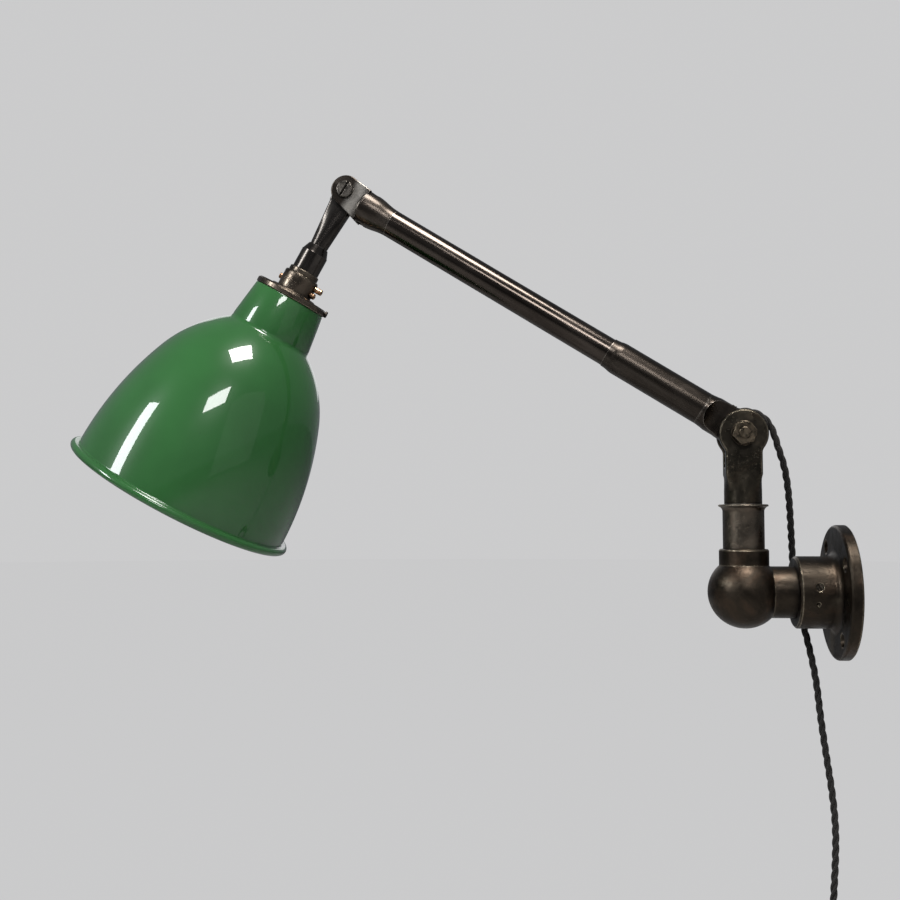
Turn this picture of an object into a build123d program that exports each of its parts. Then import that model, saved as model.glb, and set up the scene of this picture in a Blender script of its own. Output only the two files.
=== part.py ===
from build123d import *
import math
import os

# Articulated wall lamp: a cast wall bracket with a ball elbow, a forked post that swivels in it,
# a two-size tubular arm between two friction knuckles, and a bell shade on a bayonet lampholder.
# Millimetres, +Z up. The wall is the plane X = 0, the lamp reaches towards -X, and the origin is
# the centre of the flange's back face.

os.makedirs("parts", exist_ok=True)

# ---- how the lamp stands ----
SWIVEL = 3.7  # the arm's turn away from square to the wall, degrees
ARM_RISE = 32.8  # the arm above the horizontal, degrees
SHADE_TILT = 29.4  # the shade's axis away from the vertical, degrees
POST_X = -71.0
KNUCKLE_Z = 113.0
ARM_LENGTH = 346.0  # pivot to pivot

# ---- wall bracket ----
FLANGE_R = 47.8
FLANGE_T = 8.4
HUB_R = 25.6
HUB_REACH = 36.4
HUB_SEAT = 12.4  # distance from the wall to the bottom of the elbow's socket
SCREW_CIRCLE_R = 38.0
SCREW_HOLE_R = 3.0
SCREW_SINK_R = 5.2
SCREW_COUNT = 4
SCREW_TURN = 33.0  # first hole, from straight up
GRUB_R = 2.7
GRUB_FROM_WALL = 23.9
GRUB_TURN = -78.7
FIT = 0.05  # radial clearance of a running fit

# ---- ball elbow and post bearing ----
BALL_R = 25.8
BALL_CAVITY_R = 19.0
SPIGOT_R = 18.35
SPIGOT_BORE_R = 12.5
COLLAR_R = 17.5
COLLAR_TOP = 30.6
SLEEVE_R = 14.6
SLEEVE_FOOT = 8.0
SLEEVE_LIP_FOOT = 57.5
LIP_R = 17.6
LIP_TOP = 62.5
WASHER_T = 0.8
TAIL_R = 11.0
TAIL_THREAD_R = 8.0

# ---- forked post ----
POST_R = 13.3
ROUND_END = 72.0  # the post turns square between these two heights
SHANK_FOOT = 84.0
FORK_WIDTH = 25.6
FORK_DEPTH = 25.0
EAR_R = 17.4
SLOT = 12.6
SLOT_FLOOR = 89.0
BOLT_R = 4.3

# ---- arm ----
EYE_R = 12.3
EYE_T = 11.0
TUBE_LIFT = 1.4  # the tubes' axis passes this far above the knuckle's centre
TUBE_DROP = 0.745  # and falls below the line of the two pivots by this angle
EYE_SHOULDER_R = 13.1
EYE_FLAT_END = 17.0  # the eye's flat sides end here and curve out to the round shoulder
EYE_SCOOP_R = 18.0
THICK_R = 12.2
THIN_R = 10.6
TUBE_WALL = 1.5
THICK_START = 33.4
THICK_END = 104.0
SWAGE_END = 113.0
THIN_START = 62.0
THIN_END = 304.0
CLEVIS_DEPTH = 20.6
CLEVIS_R = 11.3
CLEVIS_SLOT = 10.4
CLEVIS_SLOT_DEPTH = 24.0
CLEVIS_BLOCK = 14.0
CLEVIS_SCOOP_R = 7.0
# Radius of the flare by distance from the upper pivot.
CLEVIS_FLARE = [
    (10.75, 38.5),
    (11.1, 35.4),
    (11.7, 32.3),
    (12.35, 29.0),
    (12.75, 26.0),
    (13.05, 23.0),
    (13.3, 20.0),
]
CLEVIS_KNOB_R = 13.4
FLEX_D = 5.2
BORE_R = 3.6

# ---- head, measured down the shade's axis from the upper pivot ----
HEAD_EYE_R = 9.6
HEAD_EYE_T = 9.0
HEAD_BOLT_R = 3.0
STEM_FOOT = 46.7
STEM_FOOT_R = 6.95
CAP_R = 10.45
CAP_TOP = 52.8
RING_TOP = 68.1
RING_R = 11.85
CUP_TOP = 71.9
CUP_R = 13.7
CUP_FOOT = 86.0
GALLERY_R = 28.7
GALLERY_FOOT = 92.2
BARREL_R = 13.0
BARREL_BORE_R = 11.4
BARREL_FOOT = 126.0

# ---- shade: a coned neck, a shoulder arc and a side arc that is upright at the rim ----
SHADE_T = 1.2
NECK_TOP = 92.2
NECK_R = 28.45
NECK_SLOPE = 0.123
SHOULDER_R = 99.0
SIDE_R = 256.8
RIM_Z = 264.2
RIM_R = 85.5
CROWN_TURN = 22.0  # where the two arcs meet, from the rim plane, degrees
NECK_FILLET = 5.0
BEAD_R = 3.05

# ---- bulb ----
CAP_BULB_R = 10.95
BULB_TOP = 104.0
BULB_CAP_FOOT = 129.0
BULB_R = 30.0
BULB_NECK_R = 12.5
BULB_SWELL_R = 30.0
BULB_FOOT = 211.0
GLASS_T = 0.9

# ---- put-away coil and plug ----
COIL_TURNS = 7
COIL_LAYERS = 4
COIL_PITCH = 5.9
COIL_OUTER_R = 35.5  # centreline
COIL_START = (-7.6, 25.0, -265.2)
PLUG_TOP = -306.0
PLUG_X = COIL_START[0] - COIL_PITCH * (COIL_LAYERS - 1)
PLUG_Y = 24.6
PLUG_R = 20.0
PLUG_COVER = 44.0  # from the top of the neck to the parting line
PLUG_FACE = -51.0
# x, y, radius and length: the earth pin, then the live pair
PLUG_PINS = ((0, 14.2, 3.53, 18), (9.5, -5.0, 2.54, 15), (-9.5, -5.0, 2.54, 15))

Z_AXIS = Vector(0, 0, 1)
BASE = (Align.CENTER, Align.CENTER, Align.MIN)
LOW_X = (Align.MIN, Align.CENTER, Align.CENTER)


def turned_vector(angle):
    """The direction out from the wall, turned by the swivel angle about the vertical."""
    a = math.radians(angle)
    return Vector(-math.cos(a), math.sin(a), 0)


outward = turned_vector(SWIVEL)
pivot = Vector(outward.Y, -outward.X, 0)
rise = math.radians(ARM_RISE)
tilt = math.radians(SHADE_TILT)
arm_dir = outward * math.cos(rise) + Z_AXIS * math.sin(rise)
shade_dir = outward * math.sin(tilt) - Z_AXIS * math.cos(tilt)
knuckle = Vector(POST_X, 0, KNUCKLE_Z)
elbow_top = knuckle + arm_dir * ARM_LENGTH

# Local frames. wall: z leaves the wall, x is up. post: x is outward, y faces the viewer's side.
# arm: x runs up the arm, y faces the viewer's side. head: z runs down the shade, x is the pivot.
WALL = Plane(origin=(0, 0, 0), x_dir=(0, 0, 1), z_dir=(-1, 0, 0))
POST = Plane(origin=(POST_X, 0, 0), x_dir=outward, z_dir=Z_AXIS)
ARM = Plane(origin=knuckle, x_dir=arm_dir, z_dir=arm_dir.cross(pivot * -1))
HEAD = Plane(origin=elbow_top, x_dir=pivot, z_dir=shade_dir)
ALONG_X = Rot(0, 90, 0)
ALONG_Y = Rot(-90, 0, 0)


def save(name, solids, frame=Plane.XY):
    """Places a piece in the lamp's frame and writes it under its node's name."""
    if isinstance(solids, (list, tuple)):
        solids = Part() + list(solids)
    placed = frame.location * solids
    export_step(placed, f"parts/{name}.step")


def rod(radius, start, end):
    """A round bar along local Z, from start to end."""
    return Pos(0, 0, start) * Cylinder(radius, end - start, align=BASE)


def tube(outer, inner, start, end):
    return rod(outer, start, end) - rod(inner, start, end)


def cone(start_r, end_r, start, end):
    return Pos(0, 0, start) * Cone(start_r, end_r, end - start, align=BASE)


def turned(*outline):
    """A closed outline of (radius, height) points turned about local Z."""
    edge = Polyline([(r, 0, z) for r, z in outline], close=True)
    return revolve(make_face(edge), Axis.Z)


def hexagon(across_flats, start, end):
    """A hexagon bar whose corners are turned back at the far end, as on a nut."""
    corner_r = across_flats / math.sqrt(3)
    bar = extrude(Pos(0, 0, start) * RegularPolygon(corner_r, 6), end - start)
    return bar & cone(corner_r + 2.4 * (end - start), across_flats / 2, start, end)


def edges_at(part, axis, position):
    """The part's edges whose centre lies at one height along an axis."""
    pick = {Axis.X: lambda p: p.X, Axis.Y: lambda p: p.Y, Axis.Z: lambda p: p.Z}[axis]
    return ShapeList(e for e in part.edges() if abs(pick(e.center()) - position) < 0.01)


# ================= wall bracket =================


def wall_flange():
    disc = rod(FLANGE_R, 0, FLANGE_T)
    disc = fillet(edges_at(disc, Axis.Z, FLANGE_T), 2.2)
    disc = chamfer(edges_at(disc, Axis.Z, 0), 0.8)
    hub = rod(HUB_R, 0, HUB_REACH)
    hub = chamfer(edges_at(hub, Axis.Z, HUB_REACH), 1.3)
    body = disc + hub
    root = [
        e
        for e in body.edges()
        if abs(e.center().Z - FLANGE_T) < 0.01 and e.geom_type == GeomType.CIRCLE
        and abs(e.radius - HUB_R) < 0.01
    ]
    body = fillet(root, 5.0)
    body -= rod(SPIGOT_R + FIT, HUB_SEAT, HUB_REACH + 1)
    hole = rod(SCREW_HOLE_R, -1, FLANGE_T + 1)
    hole += cone(SCREW_HOLE_R, SCREW_SINK_R, FLANGE_T - 2.6, FLANGE_T + 0.01)
    body -= [place * hole for place in PolarLocations(SCREW_CIRCLE_R, SCREW_COUNT, SCREW_TURN)]
    body -= grub_place(GRUB_FROM_WALL, GRUB_TURN) * rod(GRUB_R + FIT, SPIGOT_R - 1, HUB_R + 1)
    dimple = grub_place(GRUB_FROM_WALL + 1, GRUB_TURN - 26.5) * Pos(0, 0, HUB_R + 0.5) * Sphere(1.4)
    return body - dimple


def grub_place(from_wall, turn):
    """Local z points out of the hub's side."""
    return Pos(0, 0, from_wall) * Rot(0, 0, turn) * Rot(0, 90, 0)


def hub_grub_screw():
    screw = rod(GRUB_R, SPIGOT_R + 0.1, HUB_R - 0.35)
    screw = chamfer(edges_at(screw, Axis.Z, HUB_R - 0.35), 0.3)
    screw -= Pos(0, 0, HUB_R) * Rot(0, 0, 20) * Box(1.0, 8, 3.2)
    return grub_place(GRUB_FROM_WALL, GRUB_TURN) * screw


def ball_elbow():
    spigot = ALONG_X * rod(SPIGOT_R, 0, -POST_X - HUB_SEAT - 0.1)
    collar = rod(COLLAR_R, 0, COLLAR_TOP)
    collar = chamfer(edges_at(collar, Axis.Z, COLLAR_TOP), 0.9)
    body = Sphere(BALL_R) + spigot + collar
    body -= Sphere(BALL_CAVITY_R)
    body -= ALONG_X * rod(SPIGOT_BORE_R, 0, 90)
    body -= rod(SLEEVE_R + FIT, 0, COLLAR_TOP + 1)
    return Pos(POST_X, 0, 0) * body


def post_sleeve():
    bore_r = TAIL_R + FIT
    wall = Polyline((bore_r, 0, SLEEVE_FOOT), (SLEEVE_R, 0, SLEEVE_FOOT), (SLEEVE_R, 0, SLEEVE_LIP_FOOT))
    flare = ThreePointArc(
        (SLEEVE_R, 0, SLEEVE_LIP_FOOT),
        (SLEEVE_R + 0.8, 0, SLEEVE_LIP_FOOT + 2.3),
        (LIP_R, 0, LIP_TOP - 1.3),
    )
    lip = Polyline(
        (LIP_R, 0, LIP_TOP - 1.3),
        (LIP_R, 0, LIP_TOP - 0.5),
        (LIP_R - 0.5, 0, LIP_TOP),
        (bore_r, 0, LIP_TOP),
        (bore_r, 0, SLEEVE_FOOT),
    )
    return revolve(make_face(wall + flare + lip), Axis.Z)


# ================= forked post =================


def fork_outline():
    """Side view of the fork: round ears on a straight shank, with filleted shoulders."""
    shank_height = KNUCKLE_Z - SHANK_FOOT
    shank = Pos(0, (KNUCKLE_Z + SHANK_FOOT) / 2) * Rectangle(FORK_WIDTH, shank_height)
    outline = shank + Pos(0, KNUCKLE_Z) * Circle(EAR_R)
    shoulder_z = KNUCKLE_Z - math.sqrt(EAR_R**2 - (FORK_WIDTH / 2) ** 2)
    shoulders = [v for v in outline.vertices() if abs(v.Y - shoulder_z) < 0.01]
    return fillet(shoulders, 6.0)


def post_fork():
    seat = LIP_TOP + WASHER_T + FIT
    upper = extrude(Plane.XZ * fork_outline(), FORK_DEPTH / 2, both=True)
    faces = edges_at(upper, Axis.Y, FORK_DEPTH / 2) + edges_at(upper, Axis.Y, -FORK_DEPTH / 2)
    upper = chamfer([e for e in faces if e.center().Z > SHANK_FOOT + 0.5], 0.9)
    square = Pos(0, 0, SHANK_FOOT) * RectangleRounded(FORK_WIDTH, FORK_DEPTH, 1.0)
    neck = loft([Pos(0, 0, ROUND_END) * Circle(POST_R), square])
    body = upper + neck + rod(POST_R, seat, ROUND_END)
    body += rod(TAIL_R, SLEEVE_FOOT - 0.1, seat)
    body += rod(TAIL_THREAD_R, -3, SLEEVE_FOOT - 0.1)
    slot = Pos(0, 0, SLOT_FLOOR) * Box(60, SLOT, 60, align=BASE)
    slot = fillet(slot.edges().filter_by(Axis.X).group_by(Axis.Z)[0], 2.5)
    body -= slot
    return body - Pos(0, 0, KNUCKLE_Z) * ALONG_Y * rod(BOLT_R + FIT, -20, 20)


def post_nut_and_washer():
    washer = tube(14.2, TAIL_THREAD_R, SLEEVE_FOOT - 1.7, SLEEVE_FOOT - 0.1)
    nut = Rot(180, 0, 0) * hexagon(21.0, -(SLEEVE_FOOT - 1.7), -(SLEEVE_FOOT - 8.2))
    return washer, nut - rod(TAIL_THREAD_R, -5, 10)


EAR_FACE = FORK_DEPTH / 2
KNUCKLE_ACROSS = Pos(0, 0, KNUCKLE_Z) * ALONG_Y


def knuckle_bolt():
    shank = rod(BOLT_R, -EAR_FACE - 1.2, EAR_FACE + 8.8)
    shank = fillet(edges_at(shank, Axis.Z, EAR_FACE + 8.8), 1.2)
    head = Rot(180, 0, 0) * hexagon(15.0, EAR_FACE + 1.2, EAR_FACE + 6.8)
    return KNUCKLE_ACROSS * (shank + head)


def knuckle_washers():
    front = tube(9.0, BOLT_R + FIT, EAR_FACE, EAR_FACE + 1.2)
    return [KNUCKLE_ACROSS * front, KNUCKLE_ACROSS * Rot(180, 0, 0) * front]


def knuckle_nut():
    nut = Rot(0, 0, 12) * hexagon(15.0, EAR_FACE + 1.2, EAR_FACE + 7.4)
    nut -= rod(BOLT_R, 0, 60)
    return KNUCKLE_ACROSS * nut


# ================= arm =================

# The tubes' own frame within the arm's.
TUBES = Pos(0, 0, TUBE_LIFT) * Rot(0, TUBE_DROP, 0)


def on_axis(x):
    """A point on the tubes' axis, by distance from the knuckle."""
    return x, 0, TUBE_LIFT - x * math.tan(math.radians(TUBE_DROP))


FLEX_TURN = on_axis(28.5)  # where the flex leaves the tubes' axis
FLEX_EXIT = (12.0, 0, 12.1)


def lead_out(radius, start, end):
    """A round bar along the inclined lead-out, by distance from the bend."""
    angle = math.degrees(math.atan2(FLEX_EXIT[2] - FLEX_TURN[2], FLEX_TURN[0] - FLEX_EXIT[0]))
    return Pos(FLEX_TURN) * Rot(0, angle - 90, 0) * rod(radius, start, end)


LEAD_OUT_LENGTH = math.hypot(FLEX_EXIT[2] - FLEX_TURN[2], FLEX_TURN[0] - FLEX_EXIT[0])


def side_scoops(flat_end, half_width, radius, reach):
    """The hollows beside a flat that ends at flat_end and curves out from it."""
    mouth = (flat_end + radius, half_width + radius)
    middle = (flat_end + radius * math.sin(math.pi / 4), mouth[1] - radius * math.cos(math.pi / 4))
    edge = Polyline((-reach, half_width), (flat_end, half_width))
    edge += ThreePointArc((flat_end, half_width), middle, mouth)
    edge += Polyline(mouth, (-reach, mouth[1]), (-reach, half_width))
    scoop = extrude(make_face(edge), reach, both=True)
    return scoop + Rot(180, 0, 0) * scoop


def knuckle_eye():
    """Flat eye that swells into a round shoulder on the tube, with a spigot inside it."""
    top = (EYE_FLAT_END, TUBE_LIFT + EYE_SHOULDER_R - 0.3)
    low = (EYE_FLAT_END, TUBE_LIFT - EYE_SHOULDER_R)
    cheek = Polyline((0, EYE_R), (0, -EYE_R), low, top, (0, EYE_R))
    bar = extrude(Plane.XZ * (Circle(EYE_R) + make_face(cheek)), EYE_T / 2, both=True)
    rims = edges_at(bar, Axis.Y, EYE_T / 2) + edges_at(bar, Axis.Y, -EYE_T / 2)
    bar = chamfer([e for e in rims if abs(e.center().X - EYE_FLAT_END) > 0.1], 0.8)
    profile = [
        (0, EYE_FLAT_END - 0.5),
        (EYE_SHOULDER_R, EYE_FLAT_END - 0.5),
        (EYE_SHOULDER_R, THICK_START - 7.5),
        (EYE_SHOULDER_R - 0.3, THICK_START - 6.0),
        (THICK_R + 0.1, THICK_START - 2.0),
        (THICK_R, THICK_START - 0.3),
        (THICK_R - 0.3, THICK_START),
        (THIN_R, THICK_START),
        (THIN_R, THICK_START + 18.6),
        (0, THICK_START + 18.6),
    ]
    shoulder = TUBES * (ALONG_X * turned(*profile)) - side_scoops(EYE_FLAT_END, EYE_T / 2, EYE_SCOOP_R, 40)
    body = bar + shoulder
    body -= ALONG_Y * rod(BOLT_R + FIT, -20, 20)
    body -= TUBES * (ALONG_X * rod(BORE_R, FLEX_TURN[0] - 1, 60))
    body -= Pos(FLEX_TURN) * Sphere(BORE_R)
    return body - lead_out(BORE_R, 0, 40) - lead_out(BORE_R + 0.6, LEAD_OUT_LENGTH, 40)


def lead_out_bush():
    return lead_out(BORE_R, LEAD_OUT_LENGTH - 9, LEAD_OUT_LENGTH) - lead_out(FLEX_D / 2, 0, 40)


def friction_washers():
    disc = ALONG_Y * tube(11.8, BOLT_R + FIT, EYE_T / 2, EYE_T / 2 + 0.7)
    return [disc, Rot(180, 0, 0) * disc]


def lower_tube():
    """The thick tube, its outer end swaged down onto the thin one."""
    waist = (THIN_R + 0.8, 0, 108.6)
    lip = (THIN_R + 0.45, 0, SWAGE_END)
    edge = Polyline((THIN_R + FIT, 0, THICK_START), (THICK_R, 0, THICK_START), (THICK_R, 0, THICK_END))
    edge += ThreePointArc((THICK_R, 0, THICK_END), (THICK_R - 0.25, 0, THICK_END + 2.2), waist)
    edge += ThreePointArc(waist, (THIN_R + 0.6, 0, 110.6), lip)
    edge += Polyline(lip, (THIN_R + FIT, 0, SWAGE_END), (THIN_R + FIT, 0, THICK_START))
    return TUBES * (ALONG_X * revolve(make_face(edge), Axis.Z))


def upper_tube():
    return TUBES * (ALONG_X * tube(THIN_R, THIN_R - TUBE_WALL, THIN_START, THIN_END))


def top_clevis():
    """A spigot that flares into a knob, whose sides are hollowed down to two round-ended ears."""
    bore_r = THIN_R - TUBE_WALL
    foot = ARM_LENGTH - CLEVIS_BLOCK
    flare = [(THIN_R, 0, THIN_END)] + [(r, 0, ARM_LENGTH - back) for r, back in CLEVIS_FLARE]
    flare.append((CLEVIS_KNOB_R, 0, foot - 3))
    edge = Polyline((0, 0, THIN_END - 22), (bore_r, 0, THIN_END - 22), (bore_r, 0, THIN_END), flare[0])
    edge += Spline(flare, tangents=[(0, 0, 1), (0, 0, 1)])
    edge += ThreePointArc(flare[-1], (CLEVIS_KNOB_R - 0.5, 0, foot - 0.8), (CLEVIS_KNOB_R - 2, 0, foot))
    edge += Polyline((CLEVIS_KNOB_R - 2, 0, foot), (0, 0, foot), (0, 0, THIN_END - 22))
    half = CLEVIS_DEPTH / 2
    scoops = side_scoops(CLEVIS_BLOCK + 0.5 - CLEVIS_SCOOP_R, half, CLEVIS_SCOOP_R, 60)
    knob = TUBES * (ALONG_X * revolve(make_face(edge), Axis.Z))
    knob -= Pos(ARM_LENGTH, 0, 0) * Rot(0, 180, 0) * scoops
    low = on_axis(foot)[2]
    high_corner = (ARM_LENGTH - CLEVIS_BLOCK - 3, low + CLEVIS_KNOB_R - 0.6)
    low_corner = (high_corner[0], low - CLEVIS_KNOB_R + 0.6)
    ends = (ARM_LENGTH, CLEVIS_R), (ARM_LENGTH, -CLEVIS_R)
    plate = Polyline(ends[0], high_corner, low_corner, *ends[::-1])
    ear = Pos(ARM_LENGTH, 0) * Circle(CLEVIS_R) + make_face(plate)
    ear = extrude(Plane.XZ * ear, half, both=True)
    rims = edges_at(ear, Axis.Y, half) + edges_at(ear, Axis.Y, -half)
    ear = fillet([e for e in rims if e.center().X > high_corner[0] + 0.1], 1.0)
    slot = Pos(ARM_LENGTH - CLEVIS_SLOT_DEPTH, 0, 0) * Box(60, CLEVIS_SLOT, 60, align=LOW_X)
    slot = fillet(slot.edges().filter_by(Axis.Z).group_by(Axis.X)[0], 3.0)
    body = knob + ear - slot
    body -= TUBES * (ALONG_X * rod(4.2, THIN_END - 30, ARM_LENGTH))
    return body - Pos(ARM_LENGTH, 0, 0) * ALONG_Y * rod(HEAD_BOLT_R + FIT, -30, 30)


HEAD_ACROSS = Pos(ARM_LENGTH, 0, 0) * ALONG_Y


def head_pivot_screw():
    face = CLEVIS_DEPTH / 2
    head = rod(6.3, face, face + 3.6)
    head = fillet(edges_at(head, Axis.Z, face + 3.6), 1.1)
    head -= Pos(0, 0, face + 3.6) * Box(1.7, 20, 3.4)
    return HEAD_ACROSS * (head + rod(HEAD_BOLT_R, -face - 7.6, face))


def head_pivot_nut():
    face = CLEVIS_DEPTH / 2
    washer = tube(6.6, HEAD_BOLT_R, -face - 1.0, -face)
    nut = Rot(180, 0, 0) * hexagon(10.0, face + 1.0, face + 6.0)
    return [HEAD_ACROSS * washer, HEAD_ACROSS * (nut - rod(HEAD_BOLT_R, -40, 0))]


def head_washers():
    start = HEAD_EYE_T / 2
    disc = HEAD_ACROSS * tube(8.6, HEAD_BOLT_R + FIT, start, start + 0.6)
    return [disc, Rot(180, 0, 0) * disc]


# ================= head =================


def head_stem():
    """Flat eye between the clevis ears, running into a round foot that screws into the cap."""
    eye = ALONG_X * rod(HEAD_EYE_R, -HEAD_EYE_T / 2, HEAD_EYE_T / 2)
    rims = edges_at(eye, Axis.X, HEAD_EYE_T / 2) + edges_at(eye, Axis.X, -HEAD_EYE_T / 2)
    eye = fillet(rims, 0.9)
    shoulder = Pos(0, 0, 11) * RectangleRounded(HEAD_EYE_T, 2 * HEAD_EYE_R - 0.6, 2.2)
    cheek = extrude(RectangleRounded(HEAD_EYE_T, 2 * HEAD_EYE_R - 0.2, 1.0), 11)
    stem = loft([shoulder, Pos(0, 0, STEM_FOOT) * Circle(STEM_FOOT_R)])
    body = eye + cheek + stem + rod(4.95, STEM_FOOT, STEM_FOOT + 9.5)
    body -= rod(3.0, 17, STEM_FOOT + 10)
    mouth = Pos(0, 0, 20) * Rot(0, 50, 0) * rod(3.0, 0, 20)
    body -= mouth
    return body - ALONG_X * rod(HEAD_BOLT_R + FIT, -20, 20)


def holder_cap():
    edge = [
        (4.95 + FIT, STEM_FOOT),
        (STEM_FOOT_R + 0.9, STEM_FOOT),
        (CAP_R - 0.4, CAP_TOP - 0.8),
        (CAP_R, CAP_TOP),
        (CAP_R, RING_TOP),
        (8.8, RING_TOP),
        (8.8, STEM_FOOT + 10),
        (4.95 + FIT, STEM_FOOT + 10),
    ]
    return turned(*edge)


def holder_ring():
    ring = tube(RING_R, 8.8, RING_TOP, CUP_TOP)
    return chamfer(edges_at(ring, Axis.Z, RING_TOP).sort_by(SortBy.LENGTH)[-1:], 0.6)


CLAMP_SCREWS = ((79.7, -90.0, 2.4), (76.8, 90.0, 6.2), (82.2, 99.0, 3.6))


def clamp_place(height, turn):
    return Pos(0, 0, height) * Rot(0, 0, turn) * Rot(0, 90, 0)


def holder_cup():
    cup = turned(
        (8.8, CUP_TOP),
        (CUP_R - 1.4, CUP_TOP),
        (CUP_R - 0.4, CUP_TOP + 0.4),
        (CUP_R, CUP_TOP + 1.4),
        (CUP_R, CUP_FOOT),
        (12.2, CUP_FOOT),
        (12.2, CUP_TOP + 2.2),
        (8.8, CUP_TOP + 2.2),
    )
    for height, turn, _ in CLAMP_SCREWS:
        cup -= clamp_place(height, turn) * rod(1.3, 5, 20)
    return cup


def clamp_screws():
    screws = []
    for height, turn, length in CLAMP_SCREWS:
        head = rod(2.3, CUP_R + 0.05, CUP_R + length)
        head = fillet(edges_at(head, Axis.Z, CUP_R + length), 0.5)
        head -= Pos(0, 0, CUP_R + length) * Rot(0, 0, 30) * Box(0.6, 6, 1.6)
        screws.append(clamp_place(height, turn) * (head + rod(1.25, 12.25, CUP_R + 0.05)))
    return screws


GALLERY_SCREW = (89.4, 80.0)  # height and turn


def gallery_screw():
    """Cheese-headed screw in the gallery's edge."""
    height, turn = GALLERY_SCREW
    head = rod(2.5, GALLERY_R + 0.05, GALLERY_R + 2.0)
    head = fillet(edges_at(head, Axis.Z, GALLERY_R + 2.0), 0.5)
    head -= Pos(0, 0, GALLERY_R + 2.0) * Rot(0, 0, 20) * Box(0.7, 8, 1.6)
    return clamp_place(height, turn) * (head + rod(1.25, 22.5, GALLERY_R + 0.05))


def gallery_disc():
    edge = [
        (BARREL_R + FIT, CUP_FOOT),
        (17.5, CUP_FOOT),
        (18.5, CUP_FOOT + 0.9),
        (GALLERY_R - 1.2, CUP_FOOT + 1.3),
        (GALLERY_R, CUP_FOOT + 2.5),
        (GALLERY_R, GALLERY_FOOT - 0.6),
        (GALLERY_R - 0.6, GALLERY_FOOT),
        (BARREL_R + FIT, GALLERY_FOOT),
    ]
    height, turn = GALLERY_SCREW
    return turned(*edge) - clamp_place(height, turn) * rod(1.25, 22, 40)


def lampholder_barrel():
    """Brass barrel with the two bayonet slots."""
    body = tube(12.1, 10.6, 78, CUP_FOOT) + tube(BARREL_R, BARREL_BORE_R, CUP_FOOT, BARREL_FOOT)
    body += tube(BARREL_R, 10.6, CUP_FOOT, CUP_FOOT + 1.5)
    for side in (0, 180):
        entry = Pos(12, 0, BARREL_FOOT - 4) * Box(6, 2.6, 10)
        catch = Pos(12, 1.9, BARREL_FOOT - 7.7) * Box(6, 6.4, 2.6)
        body -= Rot(0, 0, side) * (entry + catch)
    return body


def lampholder_insulator():
    body = rod(10.5, 80, 88) + rod(11.3, 88, 98)
    for x in (-5.5, 5.5):
        body -= Pos(x, 0, 0) * rod(2.6, 88.5, 99)
    return chamfer(edges_at(body, Axis.Z, 98).sort_by(SortBy.LENGTH)[-1:], 0.6)


def contact_plungers():
    pin = rod(2.5, 94, 96.4) + rod(1.6, 96.4, 103.9)
    pin = fillet(edges_at(pin, Axis.Z, 103.9), 0.6)
    return [Pos(x, 0, 0) * pin for x in (-5.5, 5.5)]


def plunger_springs():
    return [Pos(x, 0, 0) * tube(2.4, 1.7, 88.6, 93.95) for x in (-5.5, 5.5)]


def terminal_screws():
    return [Pos(x, 0, 0) * (rod(2.2, 78.4, 79.95)) for x in (-5.5, 5.5)]


def shade_ring():
    """Threaded ring that clamps the shade's crown up against the gallery."""
    foot = NECK_TOP + SHADE_T
    body = tube(19.0, BARREL_R + FIT, foot, foot + 5)
    body = chamfer(edges_at(body, Axis.Z, foot + 5).sort_by(SortBy.LENGTH)[-1:], 0.8)
    for turn in range(0, 360, 45):
        body -= Rot(0, 0, turn) * Pos(19.8, 0, foot) * Cylinder(1.8, 12)
    return body


def polar(centre, radius, angle):
    """A point at an angle from the shade's axis direction, as (radius, height)."""
    a = math.radians(angle)
    return centre[0] + radius * math.sin(a), centre[1] + radius * math.cos(a)


def bell_face(inset):
    """Half section of the bell, filled to the axis, drawn in by inset."""
    side_centre = (RIM_R - SIDE_R, RIM_Z)
    meet = polar(side_centre, SIDE_R, 90 + CROWN_TURN)
    shoulder_centre = polar(meet, SHOULDER_R, CROWN_TURN - 90)
    side_r = SIDE_R - inset
    shoulder_r = SHOULDER_R - inset
    neck_r = NECK_R - inset * math.hypot(1, NECK_SLOPE)
    # the neck's line meets the shoulder arc where a quadratic in height is zero
    a = 1 + NECK_SLOPE**2
    gap = neck_r - shoulder_centre[0] - NECK_SLOPE * (NECK_TOP - shoulder_centre[1])
    b = 2 * NECK_SLOPE * gap
    c = gap**2 - shoulder_r**2
    corner_z = shoulder_centre[1] + (-b - math.sqrt(b * b - 4 * a * c)) / (2 * a)
    corner = (neck_r + NECK_SLOPE * (corner_z - NECK_TOP), corner_z)
    crown_angle = math.degrees(math.atan2(corner[0] - shoulder_centre[0], corner_z - shoulder_centre[1]))
    joint = polar(side_centre, side_r, 90 + CROWN_TURN)
    mid_shoulder = polar(shoulder_centre, shoulder_r, (crown_angle + 90 + CROWN_TURN) / 2)
    mid_side = polar(side_centre, side_r, 90 + CROWN_TURN / 2)
    top = NECK_TOP + inset
    neck_top_r = neck_r + NECK_SLOPE * (top - NECK_TOP)
    edge = Polyline((0, top), (neck_top_r, top), corner)
    edge += ThreePointArc(corner, mid_shoulder, joint)
    edge += ThreePointArc(joint, mid_side, (side_centre[0] + side_r, RIM_Z))
    edge += Polyline((side_centre[0] + side_r, RIM_Z), (0, RIM_Z), (0, top))
    face = make_face(edge)
    crease = [v for v in face.vertices() if abs(v.X - corner[0]) + abs(v.Y - corner[1]) < 0.01]
    return fillet(crease, NECK_FILLET + inset)


def shade():
    shell = revolve(Plane.XZ * bell_face(0), Axis.Z) - revolve(Plane.XZ * bell_face(SHADE_T), Axis.Z)
    bead = Pos(0, 0, RIM_Z + 0.3) * Torus(RIM_R + 2.15, BEAD_R)
    return shell + bead - rod(BARREL_R + 0.2, NECK_TOP - 5, NECK_TOP + 5)


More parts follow.
